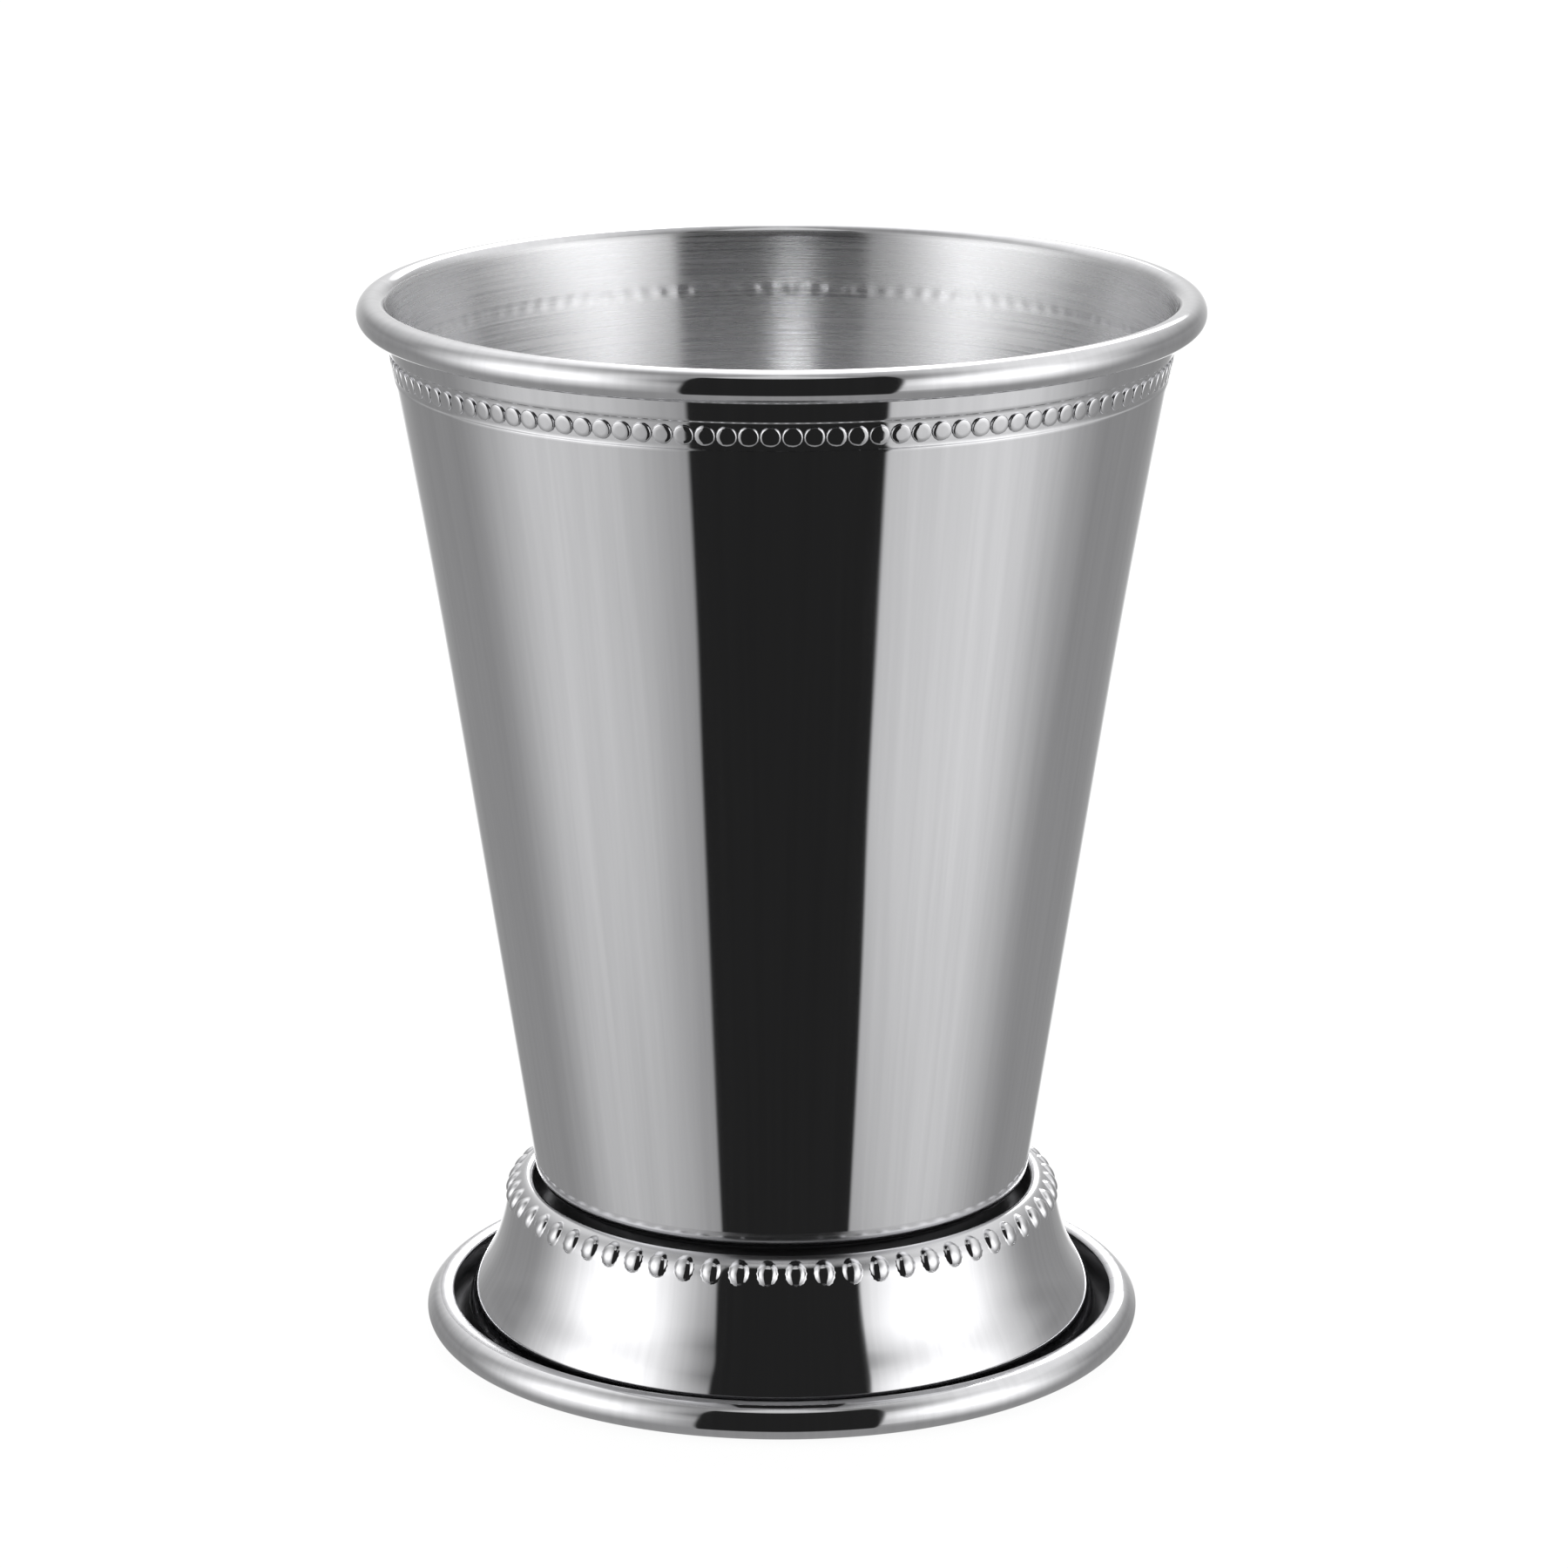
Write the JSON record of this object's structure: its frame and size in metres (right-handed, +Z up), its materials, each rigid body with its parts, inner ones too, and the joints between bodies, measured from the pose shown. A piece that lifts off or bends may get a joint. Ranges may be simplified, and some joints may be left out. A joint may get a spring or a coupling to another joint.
{
  "type": "julep cup",
  "caption": "Tapered julep cup in polished sheet steel with a rolled rim, a beaded band and a flared, beaded, hollow foot with a rolled edge.",
  "frame": {"origin": "on the cup's axis, in the plane that the foot stands on", "axes": "+Z up along the cup's axis, from the foot to the mouth; the cup is alike all round, so X and Y are free"},
  "size_m": [0.0894, 0.0894, 0.114],
  "materials": {
    "cup_steel": "mirror polished outside, turned satin inside",
    "foot_steel": "mirror polished",
    "weld_steel": "as welded"
  },
  "bodies": {
    "root": {"cup_body": "cup_steel", "foot": "foot_steel", "spot_welds": "weld_steel"}
  },
  "joints": []
}
